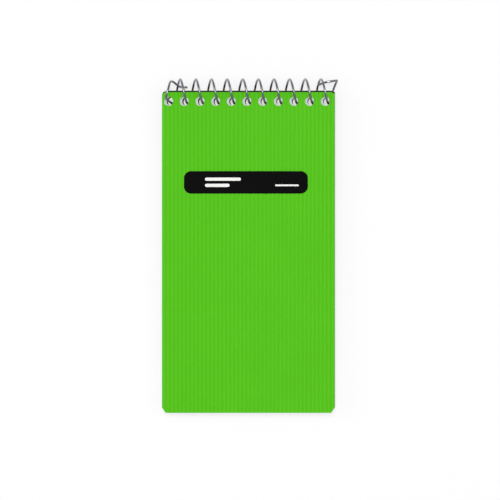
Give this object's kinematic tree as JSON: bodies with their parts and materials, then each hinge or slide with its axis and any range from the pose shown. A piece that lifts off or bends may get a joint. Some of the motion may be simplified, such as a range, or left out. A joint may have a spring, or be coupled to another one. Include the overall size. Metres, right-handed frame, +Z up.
{
  "type": "reporter notebook",
  "caption": "Narrow top-bound notepad with ribbed plastic covers, a block of paper sheets and a single spiral wire through punched holes.",
  "frame": {"origin": "on the desk, straight under the coil's axis, at the middle of the notepad's width", "axes": "+X to the right of the front cover, +Y up the page towards and past the coil, +Z up out of the front cover"},
  "size_m": [0.0708, 0.1358, 0.0108],
  "materials": {
    "green_plastic": "satin ribbed polypropylene",
    "black_print": "satin screen print",
    "paper": "uncoated",
    "black_plastic": "satin ribbed polypropylene",
    "steel_wire": "bright drawn"
  },
  "bodies": {
    "binding": {"page_block": "paper", "wire_coil": "steel_wire"},
    "front_cover": {"front_cover": "green_plastic", "title_field": "black_print"},
    "back_cover": {"back_cover": "black_plastic"}
  },
  "joints": [
    {"name": "front_cover_turn", "type": "hinge", "parent": "binding", "child": "front_cover", "pos_m": [0, 0, 0.00539], "axis": [-1, 0, 0], "range_deg": [0, 110]},
    {"name": "back_cover_turn", "type": "hinge", "parent": "binding", "child": "back_cover", "pos_m": [0, 0, 0.00539], "axis": [1, 0, 0], "range_deg": [0, 35]}
  ]
}
